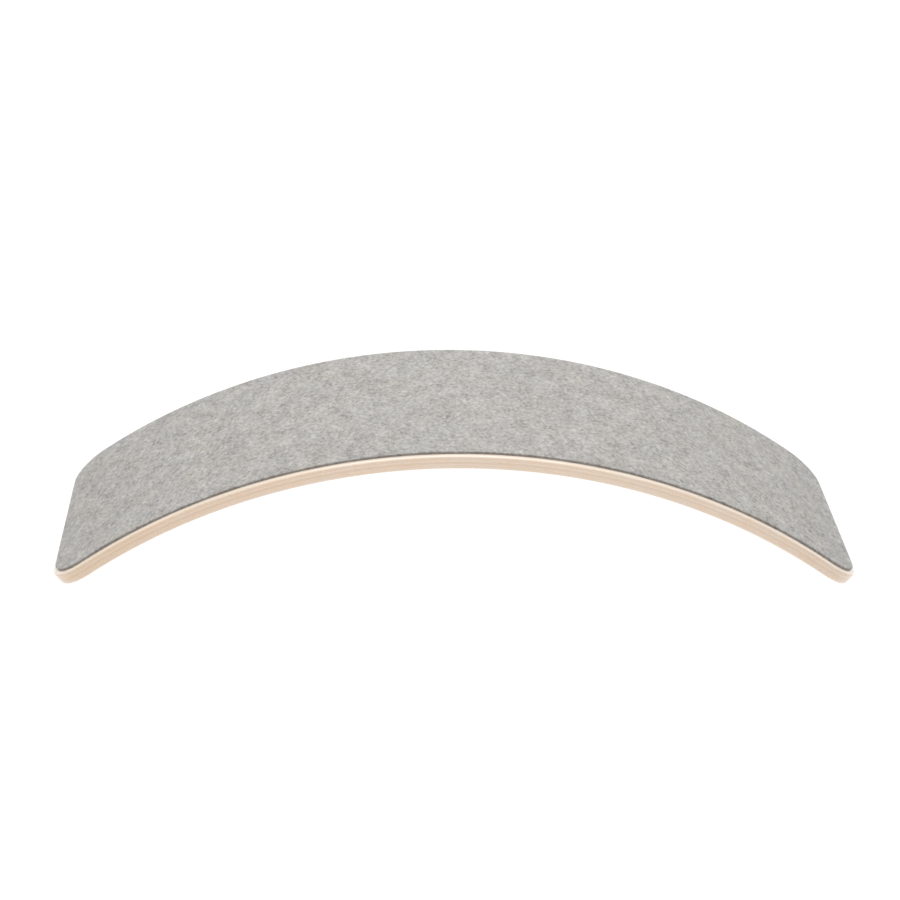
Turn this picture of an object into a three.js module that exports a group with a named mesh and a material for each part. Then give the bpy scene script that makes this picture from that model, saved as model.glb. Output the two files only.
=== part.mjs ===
// A rocking balance board: an arch of moulded beech plywood with a wool felt cover glued to its convex side.
// It lies as a bridge on its two ends. Millimetres. X runs along the board, Y across it and Z up, and the
// origin is on the floor, under the middle of the board.
//
// Every layer is drawn flat first, with the outline it is cut to, and then bent onto the arc of the mould.
// A flat place is (along, across, height), where height is counted from the convex face of the wood.
import * as THREE from "three";
import { LoftGeometry } from "three/addons/geometries/LoftGeometry.js";

// Board
const BOARD_LENGTH = 900; // straight from end to end of the convex wood face
const BOARD_WIDTH = 300;
const ARC_RISE = 159; // from the ends of the convex wood face up to its crown
const CORNER_RADIUS = 45; // of the outline
const RIM_RADIUS = 3; // rounding of the upper and the lower rim, all the way round

// Plywood, from the convex face inwards: the grain runs along the board in odd plies and across it in even ones
const PLY_THICKNESS = 2.1;
const GLUE_THICKNESS = 0.12;
const CLEARANCE = 0.02; // between neighbouring layers
const PLY_NAMES = [
  "ply_1_outer_face_veneer",
  "ply_2_crossband_veneer",
  "ply_3_core_veneer",
  "ply_4_centre_crossband_veneer",
  "ply_5_core_veneer",
  "ply_6_crossband_veneer",
  "ply_7_inner_face_veneer",
];

// Felt cover and the film that holds it
const FELT_THICKNESS = 3;
const FELT_SETBACK = 6; // from the edge of the wood, all the way round
const FELT_RIM_RADIUS = 1;
const FILM_THICKNESS = 0.2;
const FILM_SETBACK = 7;

// Smoothness
const SIDE_STEPS = 36; // along each straight long side
const CORNER_STEPS = 8; // round each corner of the outline
const RIM_STEPS = 4; // round a rim

const ARC_RADIUS = (BOARD_LENGTH ** 2 / 4 + ARC_RISE ** 2) / (2 * ARC_RISE);
const HALF_ARC = ARC_RADIUS * Math.asin(BOARD_LENGTH / 2 / ARC_RADIUS); // half the length along the arc
const PLY_PITCH = PLY_THICKNESS + GLUE_THICKNESS + 2 * CLEARANCE;
const WOOD_THICKNESS = PLY_NAMES.length * PLY_PITCH - (PLY_PITCH - PLY_THICKNESS);

const felt = new THREE.MeshStandardMaterial({ color: 0xb9b8b4, roughness: 0.95, metalness: 0 });
const film = new THREE.MeshStandardMaterial({ color: 0x8d8578, roughness: 0.6, metalness: 0 });
const longGrain = new THREE.MeshStandardMaterial({ color: 0xe8d0b4, roughness: 0.5, metalness: 0 });
const crossGrain = new THREE.MeshStandardMaterial({ color: 0xd9bfa1, roughness: 0.55, metalness: 0 });
const glue = new THREE.MeshStandardMaterial({ color: 0xb08a63, roughness: 0.5, metalness: 0 });

// Carries a flat place onto the arc, whose centre line is the Y axis.
function bend(along, across, height) {
  const angle = along / ARC_RADIUS;
  const radius = ARC_RADIUS + height;
  return new THREE.Vector3(radius * Math.sin(angle), across, radius * Math.cos(angle));
}

// A quarter turn of the outline.
function corner(along, across, radius, startAngle) {
  return new THREE.ArcCurve(along, across, radius, startAngle, startAngle + Math.PI / 2).getPoints(CORNER_STEPS);
}

// The inner points of a straight side, without its ends.
function side(from, to) {
  return new THREE.LineCurve(from, to).getPoints(SIDE_STEPS).slice(1, -1);
}

// The flat outline, set back from the edge of the wood, as a closed ring that starts at the middle of the
// left end. Every setback gives the same number of points, so that rings can be joined point to point.
function outline(setback) {
  const along = HALF_ARC - CORNER_RADIUS;
  const across = BOARD_WIDTH / 2 - CORNER_RADIUS;
  const radius = CORNER_RADIUS - setback;
  const frontLeft = corner(-along, -across, radius, Math.PI);
  const frontRight = corner(along, -across, radius, 1.5 * Math.PI);
  const backRight = corner(along, across, radius, 0);
  const backLeft = corner(-along, across, radius, 0.5 * Math.PI);
  return [
    new THREE.Vector2(-along - radius, 0),
    ...frontLeft,
    ...side(frontLeft.at(-1), frontRight[0]),
    ...frontRight,
    new THREE.Vector2(along + radius, 0),
    ...backRight,
    ...side(backRight.at(-1), backLeft[0]),
    ...backLeft,
  ];
}

// How far a rounded rim draws in at a depth below the face it starts from.
function rimSetback(depth, radius) {
  const short = Math.max(radius - depth, 0);
  return radius - Math.sqrt(radius ** 2 - short ** 2);
}

// The depths at which a rounded rim has its edges.
function rimDepths(radius) {
  const depths = [];
  for (let step = 0; step <= RIM_STEPS; step++) {
    depths.push(radius * (1 - Math.cos((step / RIM_STEPS) * (Math.PI / 2))));
  }
  return depths;
}

// A bent layer from height bottom to height top. setbackAt gives its setback from the edge of the wood at a
// height, and breaks are the heights where its rim has an edge. Both faces close along a spine at Y = 0.
function layer(name, material, bottom, top, setbackAt, breaks = []) {
  const between = breaks.filter((height) => height > bottom && height < top);
  const heights = [bottom, ...between.sort((a, b) => a - b), top];
  const rings = heights.map((height) => outline(setbackAt(height)).map((p) => bend(p.x, p.y, height)));
  const spine = (ring) => ring.map((p) => new THREE.Vector3(p.x, 0, p.z));
  const geometry = new LoftGeometry([spine(rings[0]), ...rings, spine(rings.at(-1))]);
  const mesh = new THREE.Mesh(geometry, material);
  mesh.name = name;
  return mesh;
}

// The sanded edge of the wood, rounded at both rims.
function woodSetback(height) {
  const depth = Math.min(-height, WOOD_THICKNESS + height);
  return rimSetback(depth, RIM_RADIUS);
}

// The seven plies, with a film of cured glue between each two.
function plywood() {
  const group = new THREE.Group();
  const breaks = rimDepths(RIM_RADIUS).flatMap((depth) => [-depth, depth - WOOD_THICKNESS]);
  PLY_NAMES.forEach((name, index) => {
    const top = -index * PLY_PITCH;
    const bottom = top - PLY_THICKNESS;
    const grain = index % 2 === 0 ? longGrain : crossGrain;
    group.add(layer(name, grain, bottom, top, woodSetback, breaks));
    if (index < PLY_NAMES.length - 1) {
      const glueTop = bottom - CLEARANCE;
      const glueName = `glue_line_${index + 1}`;
      group.add(layer(glueName, glue, glueTop - GLUE_THICKNESS, glueTop, woodSetback, breaks));
    }
  });
  return group;
}

// The film of adhesive on the convex face, and the felt on the film.
function feltCover() {
  const group = new THREE.Group();
  const filmTop = CLEARANCE + FILM_THICKNESS;
  const feltBottom = filmTop + CLEARANCE;
  const feltTop = feltBottom + FELT_THICKNESS;
  const feltSetback = (height) => FELT_SETBACK + rimSetback(feltTop - height, FELT_RIM_RADIUS);
  const breaks = rimDepths(FELT_RIM_RADIUS).map((depth) => feltTop - depth);
  group.add(layer("felt_adhesive_film", film, CLEARANCE, filmTop, () => FILM_SETBACK));
  group.add(layer("felt_cover", felt, feltBottom, feltTop, feltSetback, breaks));
  return group;
}

const board = new THREE.Group();
board.add(plywood(), feltCover());
board.position.z = -new THREE.Box3().setFromObject(board).min.z; // its ends stand on the floor

const part = new THREE.Group();
part.add(board);

export default part;
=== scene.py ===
"""A rocking balance board: an arch of moulded beech plywood with a wool felt cover on its convex side.

Every layer is a flat blank, bent onto the mould's arc. A flat place is (along, across, height), in metres,
with the height counted outwards from the convex face of the wood. Each vertex keeps its flat place in
millimetres, and the wood and felt materials are worked out from it, so grain and fibres bend with the board.
"""

from math import asin, cos, pi, radians, sin, sqrt

import bpy
from mathutils import Matrix, Vector, noise


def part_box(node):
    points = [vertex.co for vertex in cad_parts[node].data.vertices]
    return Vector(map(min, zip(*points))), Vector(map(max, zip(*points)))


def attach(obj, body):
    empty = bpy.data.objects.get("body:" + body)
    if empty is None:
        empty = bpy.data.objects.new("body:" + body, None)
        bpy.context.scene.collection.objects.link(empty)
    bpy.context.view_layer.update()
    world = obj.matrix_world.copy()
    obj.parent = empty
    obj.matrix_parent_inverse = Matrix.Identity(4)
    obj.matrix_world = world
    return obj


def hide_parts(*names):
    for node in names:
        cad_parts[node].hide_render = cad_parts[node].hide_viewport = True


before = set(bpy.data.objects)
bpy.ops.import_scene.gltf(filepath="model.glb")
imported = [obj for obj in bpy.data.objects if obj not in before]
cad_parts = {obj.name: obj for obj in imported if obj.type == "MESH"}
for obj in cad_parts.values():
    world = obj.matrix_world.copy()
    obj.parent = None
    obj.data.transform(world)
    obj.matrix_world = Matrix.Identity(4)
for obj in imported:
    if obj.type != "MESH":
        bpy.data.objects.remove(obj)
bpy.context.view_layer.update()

# Board, as in the CAD model, but with a slightly rounder rim on the felt
BOARD_LENGTH = 0.9
BOARD_WIDTH = 0.3
ARC_RISE = 0.159
CORNER_RADIUS = 0.045
RIM_RADIUS = 0.003
PLY_THICKNESS = 0.0021
GLUE_THICKNESS = 0.00012
FILM_THICKNESS = 0.0002
FILM_SETBACK = 0.007
FELT_THICKNESS = 0.003
FELT_SETBACK = 0.006
FELT_RIM_RADIUS = 0.0012

ARC_RADIUS = (BOARD_LENGTH**2 / 4 + ARC_RISE**2) / (2 * ARC_RISE)
HALF_ARC = ARC_RADIUS * asin(BOARD_LENGTH / 2 / ARC_RADIUS)
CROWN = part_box("ply_1_outer_face_veneer")[1].z
WOOD_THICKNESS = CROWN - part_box("ply_7_inner_face_veneer")[1].z + PLY_THICKNESS
MM = 1000  # millimetres in a metre

VENEER_TONES = (0.12, 0.25, 0.25, 0.48, 0.36, 0.0, 0.12)  # how dark each is, from the convex face inwards
FELT_ROUGHNESS = 0.00012  # how far the felt's surface rises and falls

# Smoothness: steps across a layer, round each corner of its outline, along each side and round a rim
WOOD_STEPS = {"columns": 1, "corner_steps": 16, "side_steps": 120}
FILM_STEPS = {"columns": 1, "corner_steps": 12, "side_steps": 100}
FELT_STEPS = {"columns": 120, "corner_steps": 24, "side_steps": 360}
WOOD_RIM_STEPS = 8
FELT_RIM_STEPS = 6
SHARP_ANGLE = radians(40)  # edges that turn by more than this stay sharp


# Shapes


def bend(along, across, height):
    """A flat place, carried onto the arc."""
    angle = along / ARC_RADIUS
    radius = ARC_RADIUS + height
    return (radius * sin(angle), across, radius * cos(angle) - ARC_RADIUS + CROWN)


def stations(setback, corner_steps, side_steps):
    """The (along, half width) pairs of a blank's outline, from its left end to its right end."""
    straight = HALF_ARC - CORNER_RADIUS
    radius = CORNER_RADIUS - setback
    core = BOARD_WIDTH / 2 - CORNER_RADIUS
    turn = [pi / 2 * step / corner_steps for step in range(corner_steps + 1)]
    left = [(-straight - radius * cos(a), core + radius * sin(a)) for a in turn]
    middle = [(straight * (2 * step / side_steps - 1), core + radius) for step in range(1, side_steps)]
    right = [(-along, half) for along, half in reversed(left)]
    return left + middle + right


def face_grid(setback, columns, corner_steps, side_steps):
    """Rows of flat (along, across) points that cover a blank."""
    rows = []
    for along, half in stations(setback, corner_steps, side_steps):
        rows.append([(along, half * (2 * column / columns - 1)) for column in range(columns + 1)])
    return rows


def border(rows):
    """The points round the edge of a grid: front side, right end, back side and left end."""
    front = [row[0] for row in rows]
    back = [row[-1] for row in reversed(rows)]
    return front + rows[-1][1:-1] + back + rows[0][-2:0:-1]


def border_indices(row_count, columns):
    """Where border() finds its points, as indices into the grid's points."""
    grid = [[row * (columns + 1) + column for column in range(columns + 1)] for row in range(row_count)]
    return border(grid)


def flat_layer(levels, columns, corner_steps, side_steps):
    """Flat places and faces of one closed layer. levels holds (height, setback) from its top face down."""
    top_height, top_setback = levels[0]
    rows = face_grid(top_setback, columns, corner_steps, side_steps)
    count = len(rows)
    places = [(along, across, top_height) for row in rows for along, across in row]
    faces = []
    for row in range(count - 1):
        for column in range(columns):
            corner = row * (columns + 1) + column
            faces.append((corner, corner + columns + 1, corner + columns + 2, corner + 1))
    ring = border_indices(count, columns)
    for height, setback in levels[1:]:
        edge = border(face_grid(setback, columns, corner_steps, side_steps))
        lower = list(range(len(places), len(places) + len(edge)))
        places += [(along, across, height) for along, across in edge]
        for i, start in enumerate(ring):
            after = (i + 1) % len(ring)
            faces.append((start, lower[i], lower[after], ring[after]))
        ring = lower
    return places, faces + underside(ring, count, columns)


def underside(ring, count, columns):
    """Faces from side to side under a layer, whose two end faces take in the points of the ends."""
    front = ring[:count]
    right_end = ring[count : count + columns - 1]
    back = ring[count + columns - 1 : 2 * count + columns - 1][::-1]
    left_end = ring[2 * count + columns - 1 :]
    faces = [(front[i], back[i], back[i + 1], front[i + 1]) for i in range(1, count - 2)]
    faces.append((front[0], *reversed(left_end), back[0], back[1], front[1]))
    faces.append((front[-2], back[-2], back[-1], *reversed(right_end), front[-1]))
    return faces


def rim_setback(depth, radius):
    """How far a rounded rim draws in at a depth below the face that it starts from."""
    short = max(radius - depth, 0)
    return radius - sqrt(radius**2 - short**2)


def rim_depths(radius, steps):
    return [radius * (1 - cos(pi / 2 * step / steps)) for step in range(steps + 1)]


def make_piece(name, places, faces, material, nodes):
    """A piece that stands for CAD nodes: its places are bent onto the arc and kept on it as an attribute."""
    mesh = bpy.data.meshes.new(name)
    mesh.from_pydata([bend(*place) for place in places], [], faces)
    flat = mesh.attributes.new("flat_mm", "FLOAT_VECTOR", "POINT")
    flat.data.foreach_set("vector", [c * MM for place in places for c in place])
    mesh.shade_smooth()
    mesh.set_sharp_from_angle(angle=SHARP_ANGLE)
    mesh.materials.append(material)
    piece = bpy.data.objects.new(name, mesh)
    bpy.context.scene.collection.objects.link(piece)
    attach(piece, "root")
    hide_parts(*nodes)
    return piece


# Materials


class Shader:
    """One material, and short ways to add nodes to it."""

    def __init__(self, name):
        self.material = bpy.data.materials.new(name)
        self.material.use_nodes = True
        self.tree = self.material.node_tree
        self.surface = self.tree.nodes["Principled BSDF"]

    def add(self, kind, inputs=(), output=0, **settings):
        """Adds a node with the given inputs, which are values or sockets, and returns one of its outputs."""
        node = self.tree.nodes.new("ShaderNode" + kind)
        for key, value in settings.items():
            setattr(node, key, value)
        for key, value in dict(inputs).items():
            if isinstance(value, bpy.types.NodeSocket):
                self.tree.links.new(value, node.inputs[key])
            else:
                node.inputs[key].default_value = value
        return node.outputs[output]

    def flat(self):
        """The flat place in millimetres."""
        return self.add("Attribute", output="Vector", attribute_name="flat_mm")

    def separate(self, vector):
        """The X, Y and Z of a vector, by name."""
        return self.add("SeparateXYZ", {0: vector}).node.outputs

    def facing(self, normal, direction):
        """How squarely a surface faces a direction or its opposite, from 0 to 1."""
        cosine = self.add("VectorMath", {0: normal, 1: direction}, "Value", operation="DOT_PRODUCT")
        return self.math("ABSOLUTE", cosine)

    def scaled(self, vector, factors, shift=(0, 0, 0)):
        """A flat place in cells of noise. The factors are the cells in a millimetre, each way."""
        return self.add("VectorMath", {0: vector, 1: factors, 2: shift}, operation="MULTIPLY_ADD")

    def turned(self, vector, degrees):
        """A vector, turned about Z."""
        inputs = {"Vector": vector, "Axis": (0, 0, 1), "Angle": radians(degrees)}
        return self.add("VectorRotate", inputs)

    def noise(self, vector, detail=2.0, roughness=0.5, distortion=0.0, scale=1.0):
        """Soft noise, mostly from 0.3 to 0.7."""
        inputs = {"Vector": vector, "Scale": scale, "Detail": detail, "Roughness": roughness}
        inputs["Distortion"] = distortion
        return self.add("TexNoise", inputs, "Fac")

    def math(self, operation, first, second=0.0, third=0.0):
        return self.add("Math", {0: first, 1: second, 2: third}, operation=operation)

    def span(self, value, low, high, to_low=0.0, to_high=1.0):
        """Spreads the values from low to high over another range, and holds them there."""
        inputs = {"Value": value, "From Min": low, "From Max": high, "To Min": to_low, "To Max": to_high}
        return self.add("MapRange", inputs)

    def mix(self, factor, first, second, mode="MIX"):
        """Two colours, mixed."""
        inputs = {0: factor, 6: first, 7: second}
        return self.add("Mix", inputs, 2, data_type="RGBA", blend_type=mode)

    def with_share(self, tone, pattern, gain):
        """A tone, raised where a soft noise is high and lowered where it is low."""
        return self.math("MULTIPLY_ADD", self.math("SUBTRACT", pattern, 0.5), gain, tone)

    def bump(self, height, distance, strength):
        return self.add("Bump", {"Height": height, "Distance": distance, "Strength": strength})

    def finish(self, **sockets):
        """Fills the surface's sockets, named with _ for a space."""
        for key, value in sockets.items():
            socket = self.surface.inputs[key.replace("_", " ")]
            if isinstance(value, bpy.types.NodeSocket):
                self.tree.links.new(value, socket)
            else:
                socket.default_value = value
        return self.material


def screen_to_linear(value):
    share = value / 255
    return share / 12.92 if share <= 0.04045 else ((share + 0.055) / 1.055) ** 2.4


def screen_color(red, green, blue):
    """A colour as the eye reads it on a screen, from 0 to 255 each."""
    return (screen_to_linear(red), screen_to_linear(green), screen_to_linear(blue), 1.0)


def blend(first, second, share):
    return tuple(a + (b - a) * share for a, b in zip(first, second))


# Colours, and tints to multiply them by
BEECH_PALE = screen_color(244, 230, 215)
BEECH_TAN = screen_color(224, 202, 180)
BEECH_LATE_WOOD = screen_color(200, 160, 120)
BEECH_FLECK = screen_color(158, 112, 74)
BEECH_PORE = screen_color(140, 100, 68)
BEECH_END_GRAIN = screen_color(150, 108, 72)
# painted shade for the long edges of the wood
BEECH_EDGE_SHADE = screen_color(190, 150, 115)
# a painted highlight for the top of the outer rim
BEECH_PAINTED_HIGHLIGHT = screen_color(252, 244, 233)
# the broad faces' own fuller tone, with painted shade for the underside
BROAD_FACE_TONE_AND_SHADE = screen_color(240, 228, 210)
WARM_STRETCH_TINT = (1.0, 0.96, 0.905, 1.0)
WARM_END_TINT = (1.0, 0.955, 0.89, 1.0)
# painted shade for both ends of the board
PAINTED_SHADE_AT_ENDS = (0.935, 0.937, 0.945, 1.0)
RESIN_DARK = screen_color(190, 156, 122)
RESIN_LIGHT = screen_color(214, 184, 152)
ADHESIVE_DARK = screen_color(122, 108, 86)
ADHESIVE_LIGHT = screen_color(158, 144, 120)
WOOL_LIGHT = (screen_color(210, 208, 204.5), screen_color(211, 208, 202.5))  # cooler and warmer
WOOL_DARK = (screen_color(112, 110, 108), screen_color(113, 110, 106))
# singeing and painted shade for the felt's cut edge
WOOL_SINGED_AND_SHADED = screen_color(76, 60, 45)


def beech_material(name, across, seed, tone):
    """Lacquered beech veneer, with its grain along the board or across it.

    The tone is 0 for pale wood and 1 for dark.
    """
    shader = Shader(name)
    place = shader.flat()
    parts = shader.separate(place)
    lengthways, crossways = (parts["Y"], parts["X"]) if across else (parts["X"], parts["Y"])
    wood = shader.add("CombineXYZ", {"X": lengthways, "Y": crossways, "Z": parts["Z"]})
    shift = (17.0 * seed, 31.0 * seed, 7.0 * seed)

    normal = shader.add("NewGeometry", output="Normal")
    along, outwards = arc_directions(shader, parts["X"])
    grain = (0.0, 1.0, 0.0) if across else along
    broad = shader.math("POWER", shader.facing(normal, outwards), 4.0)  # 1 on the broad faces
    end_grain = shader.math("POWER", shader.facing(normal, grain), 2.0)  # 1 where the fibres are cut across
    shaded_long_side = shader.facing(normal, (0.0, 1.0, 0.0))  # 1 on the two long edges of the board

    color, fibres, streaks, flecks = beech_figure(shader, wood, shift, tone, broad)

    # the broad faces have a fuller tone, partly the veneer's own and partly painted shade on the concave
    # underside; the long edges get painted shade, a little darker than the ends
    color = shader.mix(shader.math("MULTIPLY", broad, 0.75), color, BROAD_FACE_TONE_AND_SHADE, "MULTIPLY")
    color = shader.mix(shader.math("MULTIPLY", shaded_long_side, 0.12), color, BEECH_EDGE_SHADE)
    color = beech_drift_and_end_shade(shader, color, place, parts["X"])

    # the outer rim is painted pale: a painted highlight along the top of the rim
    painted_highlight = shader.span(parts["Z"], -1.4, -0.1, 0.0, 0.58)
    color = shader.mix(painted_highlight, color, BEECH_PAINTED_HIGHLIGHT)

    # end grain drinks more lacquer and is darker
    speckle = shader.noise(shader.scaled(wood, (0.4, 3.5, 3.5), shift), detail=2.0, roughness=0.7)
    end_shade = shader.math("MULTIPLY", end_grain, shader.span(speckle, 0.35, 0.65, 0.16, 0.02))
    color = shader.mix(end_shade, color, BEECH_END_GRAIN)

    relief = shader.math("SUBTRACT", fibres, shader.math("MULTIPLY", flecks, 0.5))
    return shader.finish(
        Base_Color=color,
        Roughness=shader.span(streaks, 0.3, 0.7, 0.40, 0.52),
        Normal=shader.bump(relief, 0.00002, 0.6),
        Coat_Weight=1.0,
        Coat_Roughness=0.22,
    )


def arc_directions(shader, along_mm):
    """The directions along the board and out of its convex face, at a flat place."""
    angle = shader.math("DIVIDE", along_mm, ARC_RADIUS * MM)
    sine, cosine = shader.math("SINE", angle), shader.math("COSINE", angle)
    along = shader.add("CombineXYZ", {"X": cosine, "Z": shader.math("MULTIPLY", sine, -1.0)})
    outwards = shader.add("CombineXYZ", {"X": sine, "Z": cosine})
    return along, outwards


def beech_figure(shader, wood, shift, tone, broad):
    """The colour of beech and its patterns. wood is (along the grain, across it, deep), in millimetres."""
    light = blend(BEECH_PALE, BEECH_TAN, 0.8 * tone)
    dark = blend(BEECH_PALE, BEECH_TAN, 0.8 * tone + 0.3)

    # growth rings, as a rotary cut shows them: contours of a slow swell, long along the grain
    swell = shader.noise(shader.scaled(wood, (0.0011, 0.012, 0.06), shift), detail=1.0, roughness=0.4)
    waver = shader.noise(shader.scaled(wood, (0.01, 0.12, 0.3), shift), detail=3.0)
    wavering = shader.math("MULTIPLY", waver, 0.35)
    rings = shader.math("FRACT", shader.math("MULTIPLY_ADD", swell, 17.0, wavering))
    late_wood = shader.span(rings, 0.45, 1.0)

    # streaks of fibre, and the spindle-shaped flecks of the rays
    streaks = shader.noise(shader.scaled(wood, (0.03, 1.3, 1.3), shift), detail=4.0, roughness=0.6)
    fibres = shader.noise(shader.scaled(wood, (0.16, 6.0, 6.0), shift), detail=2.0, roughness=0.6)
    rays = shader.scaled(wood, (0.25, 1.4, 1.4), shift)
    cells = shader.add("TexVoronoi", {"Vector": rays, "Scale": 1.0}, "Distance")
    flecks = shader.span(cells, 0.10, 0.24, 1.0, 0.0)

    color = shader.mix(shader.span(streaks, 0.3, 0.7), light, dark)
    late_share = shader.math("MULTIPLY_ADD", broad, 0.18, 0.07)
    color = shader.mix(shader.math("MULTIPLY", late_wood, late_share), color, BEECH_LATE_WOOD)
    color = shader.mix(shader.math("MULTIPLY", flecks, 0.45), color, BEECH_FLECK)
    color = shader.mix(shader.span(fibres, 0.36, 0.52, 0.10, 0.0), color, BEECH_PORE)
    return color, fibres, streaks, flecks


def beech_drift_and_end_shade(shader, color, place, along_mm):
    """A colour of beech with the slow changes along the board, and painted shade towards both ends, which
    run through all the veneers.
    """
    # stretches of warmer wood, some centimetres long
    blush = shader.noise(shader.scaled(place, (0.045, 0.012, 0.1)), detail=3.0, roughness=0.6)
    color = shader.mix(shader.span(blush, 0.34, 0.66), color, WARM_STRETCH_TINT, "MULTIPLY")

    # the wood grows warmer towards the left end, and both ends are darkened with painted shade
    leftwards = shader.span(along_mm, -450.0, 0.0, 1.0, 0.0)
    color = shader.mix(leftwards, color, WARM_END_TINT, "MULTIPLY")
    shade_at_ends = shader.math("POWER", shader.span(shader.math("ABSOLUTE", along_mm), 0.0, 450.0), 2.0)
    return shader.mix(shade_at_ends, color, PAINTED_SHADE_AT_ENDS, "MULTIPLY")


def glue_material():
    """Cured resin, squeezed thin, a little uneven along its edge."""
    shader = Shader("cured_resin")
    patches = shader.noise(shader.scaled(shader.flat(), (0.05, 0.05, 0.5)), detail=3.0)
    color = shader.mix(shader.span(patches, 0.35, 0.65), RESIN_DARK, RESIN_LIGHT)
    return shader.finish(Base_Color=color, Roughness=shader.span(patches, 0.35, 0.65, 0.4, 0.6))


def adhesive_material():
    """Contact adhesive, brushed on in strokes."""
    shader = Shader("contact_adhesive")
    strokes = shader.noise(shader.scaled(shader.flat(), (0.02, 0.6, 0.6)), detail=3.0)
    color = shader.mix(shader.span(strokes, 0.3, 0.7), ADHESIVE_DARK, ADHESIVE_LIGHT)
    return shader.finish(Base_Color=color, Roughness=shader.span(strokes, 0.3, 0.7, 0.45, 0.7))


def fibre_noise(shader, place, degrees, length, width, seed):
    """Fibres of about a length and a width in millimetres, that run at an angle to the board."""
    turned = shader.turned(place, degrees)
    cells = shader.scaled(turned, (1 / length, 1 / width, 1 / width), (seed, 2.3 * seed, 0))
    return shader.noise(cells, detail=0.3, distortion=0.4)


def felt_fibres(shader, place, degrees, seed):
    """The topmost of three layers of fibres, each about 6 mm by 4 mm, that lie across one another."""
    layers = [fibre_noise(shader, place, degrees + 40 * i, 5.6, 4.0, seed + 3.7 * i) for i in range(3)]
    return shader.math("MAXIMUM", shader.math("MAXIMUM", layers[0], layers[1]), layers[2])


def felt_material():
    """Pressed wool felt: light and dark grey fibres that cross at all angles, in soft patches."""
    shader = Shader("wool_felt")
    place = shader.flat()
    warp = shader.add("TexNoise", {"Vector": place, "Scale": 0.22, "Detail": 2.0}, "Color")
    curl = shader.add("VectorMath", {0: warp, 1: (3.0, 3.0, 0.0), 2: place}, operation="MULTIPLY_ADD")

    light_fibres = felt_fibres(shader, curl, 50, 1.0)
    dark_fibres = felt_fibres(shader, curl, 60, 7.0)
    fluff = shader.noise(shader.scaled(place, (0.33, 0.19, 0.25)), detail=1.0, roughness=0.6)
    patches = shader.noise(shader.scaled(place, (0.06, 0.04, 0.06)), detail=2.0, roughness=0.4)
    warmth = shader.noise(shader.scaled(place, (0.016, 0.016, 0.016)), detail=2.0)

    warm = shader.span(warmth, 0.4, 0.62)
    crossing = shader.math("SUBTRACT", light_fibres, dark_fibres)
    tone = shader.math("MULTIPLY_ADD", crossing, 1.9, 0.5)
    tone = shader.with_share(tone, fluff, 0.7)
    tone = shader.with_share(tone, patches, 1.1)
    dark = shader.mix(warm, *WOOL_DARK)
    light = shader.mix(warm, *WOOL_LIGHT)
    color = shader.mix(shader.span(tone, -0.8, 1.8), dark, light)

    # the cut edge is singed and painted with shade from the gap between felt and wood, most of all at the
    # middle of its height
    height = shader.separate(place)["Z"]
    from_top = shader.span(height, 1.85, 3.15, 0.48, 0.0)
    from_wood = shader.span(height, 0.2, 1.2, 0.6, 1.0)
    color = shader.mix(shader.math("MULTIPLY", from_top, from_wood), color, WOOL_SINGED_AND_SHADED)

    relief = shader.math("MULTIPLY_ADD", fluff, 0.8, crossing)
    return shader.finish(
        Base_Color=color,
        Roughness=shader.span(fluff, 0.3, 0.7, 0.88, 1.0),
        Normal=shader.bump(relief, 0.0003, 0.3),
        Specular_IOR_Level=0.1,
        Sheen_Weight=0.03,
        Sheen_Roughness=0.6,
    )


# Layers of the board


def wood_setback(height):
    return rim_setback(min(-height, WOOD_THICKNESS + height), RIM_RADIUS)


def wood_levels(top, thickness):
    """(height, setback) of a wood layer from its top down, with an edge at each step of the rounded rims."""
    breaks = [-depth for depth in rim_depths(RIM_RADIUS, WOOD_RIM_STEPS)]
    breaks += [-WOOD_THICKNESS - height for height in breaks]
    bottom = top - thickness
    inner = sorted((height for height in breaks if bottom < height < top), reverse=True)
    return [(height, wood_setback(height)) for height in [top, *inner, bottom]]


def make_wood_layer(name, node, thickness, material):
    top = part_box(node)[1].z - CROWN
    places, faces = flat_layer(wood_levels(top, thickness), **WOOD_STEPS)
    return make_piece(name, places, faces, material, [node])


def make_plywood():
    """Seven beech veneers, by turns along and across the board, with resin between them."""
    resin = glue_material()
    plies = sorted(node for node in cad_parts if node.startswith("ply_"))
    for number, node in enumerate(plies, 1):
        across = number % 2 == 0
        material = beech_material(f"beech_{number}", across, number, VENEER_TONES[number - 1])
        make_wood_layer(f"beech_{node}", node, PLY_THICKNESS, material)
    for number in range(1, len(plies)):
        make_wood_layer(f"resin_line_{number}", f"glue_line_{number}", GLUE_THICKNESS, resin)


def make_adhesive():
    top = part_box("felt_adhesive_film")[1].z - CROWN
    levels = [(top, FILM_SETBACK), (top - FILM_THICKNESS, FILM_SETBACK)]
    places, faces = flat_layer(levels, **FILM_STEPS)
    material = adhesive_material()
    make_piece("brushed_adhesive", places, faces, material, ["felt_adhesive_film"])


def roughened(place, bottom, top):
    """A place on the felt, pushed in or out by its uneven surface, which evens out towards the wood."""
    along, across, height = place
    share = (height - bottom) / (top - bottom)
    spot = Vector((along, across, height)) * MM
    swell = noise.noise(spot / 9) * 0.6 + noise.noise(spot / 3.5) * 0.4  # bumps of 9 mm and of 3.5 mm
    return (along, across, height + swell * FELT_ROUGHNESS * share)


def make_felt():
    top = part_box("felt_cover")[1].z - CROWN
    bottom = top - FELT_THICKNESS
    depths = rim_depths(FELT_RIM_RADIUS, FELT_RIM_STEPS)
    levels = [(top - depth, FELT_SETBACK + rim_setback(depth, FELT_RIM_RADIUS)) for depth in depths]
    levels += [(top - FELT_THICKNESS * share, FELT_SETBACK) for share in (0.6, 0.8, 1.0)]
    places, faces = flat_layer(levels, **FELT_STEPS)
    places = [roughened(place, bottom, top) for place in places]
    felt = make_piece("felt_sheet", places, faces, felt_material(), ["felt_cover"])


# Studio


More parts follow.
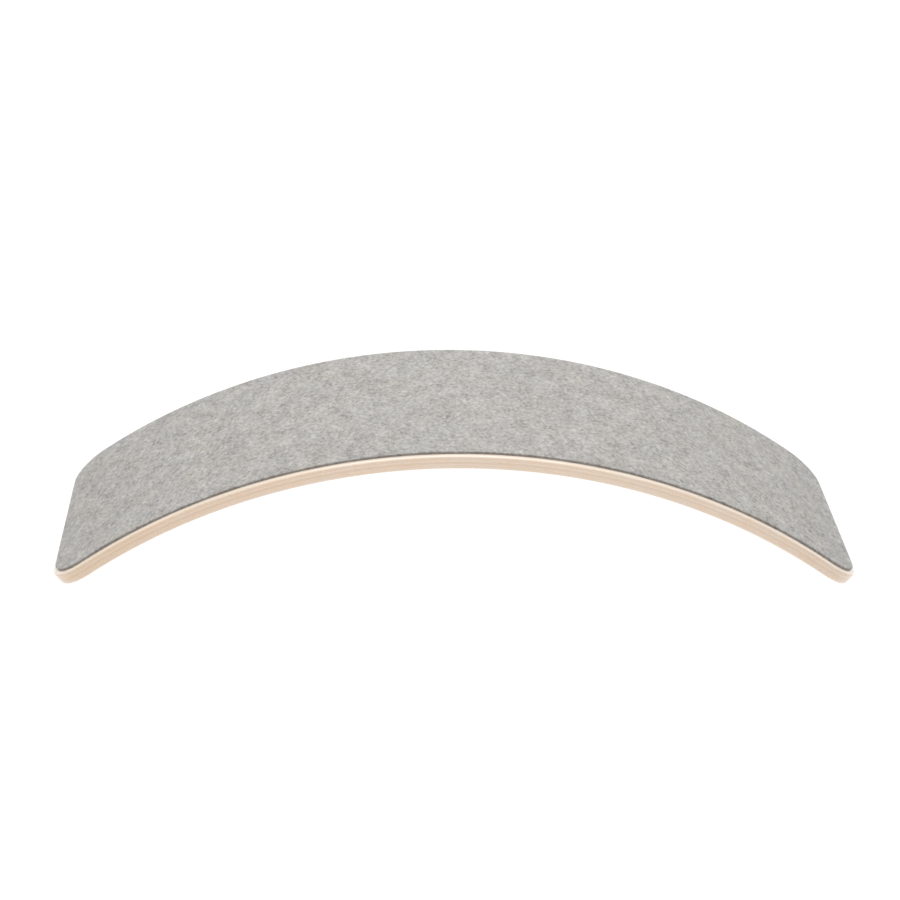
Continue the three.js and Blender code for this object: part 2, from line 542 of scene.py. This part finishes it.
def make_floor():
    """A white floor, wide enough to reach past every view."""
    shader = Shader("pale_floor")
    grain = shader.noise(shader.add("TexCoord", output="Object"), scale=40.0)
    material = shader.finish(
        Base_Color=(0.05, 0.05, 0.05, 1),
        Roughness=shader.span(grain, 0, 1, 0.7, 0.8),
        Emission_Color=(1, 1, 1, 1),
        Emission_Strength=0.96,
    )
    mesh = bpy.data.meshes.new("floor")
    reach = 15.0
    gap = 0.0002  # under the board
    corners = [(-reach, -reach, 0), (reach, -reach, 0), (reach, reach, 0), (-reach, reach, 0)]
    mesh.from_pydata(corners, [], [(0, 1, 2, 3)])
    mesh.materials.append(material)
    floor = bpy.data.objects.new("floor", mesh)
    floor.location.z = -gap
    bpy.context.scene.collection.objects.link(floor)


def make_room():
    """A pale room, white round the horizon and dimmer overhead."""
    world = bpy.data.worlds.new("studio")
    world.use_nodes = True
    tree = world.node_tree
    direction = tree.nodes.new("ShaderNodeTexCoord").outputs["Generated"]
    parts = tree.nodes.new("ShaderNodeSeparateXYZ")
    strength = tree.nodes.new("ShaderNodeMapRange")
    tree.links.new(direction, parts.inputs[0])
    tree.links.new(parts.outputs["Z"], strength.inputs["Value"])
    tree.links.new(strength.outputs[0], tree.nodes["Background"].inputs["Strength"])
    limits = {"From Min": 0.5, "From Max": 0.85, "To Min": 1.0, "To Max": 0.15}
    for key, value in limits.items():
        strength.inputs[key].default_value = value
    tree.nodes["Background"].inputs["Color"].default_value = (1, 1, 1, 1)
    bpy.context.scene.world = world


def make_softbox():
    """A large round softbox, straight above the board."""
    data = bpy.data.lights.new("overhead_softbox", "AREA")
    data.shape = "DISK"
    data.size = 2.6
    data.energy = 59
    softbox = bpy.data.objects.new("overhead_softbox", data)
    softbox.location = (0, 0.2, 2.8)
    bpy.context.scene.collection.objects.link(softbox)


def make_camera():
    """The camera stands in front of the board, a little to the left, looks down on it and leans a little."""
    data = bpy.data.cameras.new("camera")
    data.lens = 97.05
    data.sensor_width = 36
    camera = bpy.data.objects.new("camera", data)
    heading, fall, lean = radians(2.736), radians(24.713), radians(1.263)
    camera.location = (-0.1257, -2.5206, 1.2696)
    level = Matrix.Rotation(-heading, 4, "Z") @ Matrix.Rotation(pi / 2 - fall, 4, "X")
    camera.rotation_euler = (level @ Matrix.Rotation(lean, 4, "Z")).to_euler()
    bpy.context.scene.collection.objects.link(camera)
    bpy.context.scene.camera = camera


make_plywood()
make_adhesive()
make_felt()
make_floor()
make_room()
make_softbox()
make_camera()
bpy.context.scene.view_settings.view_transform = "Standard"
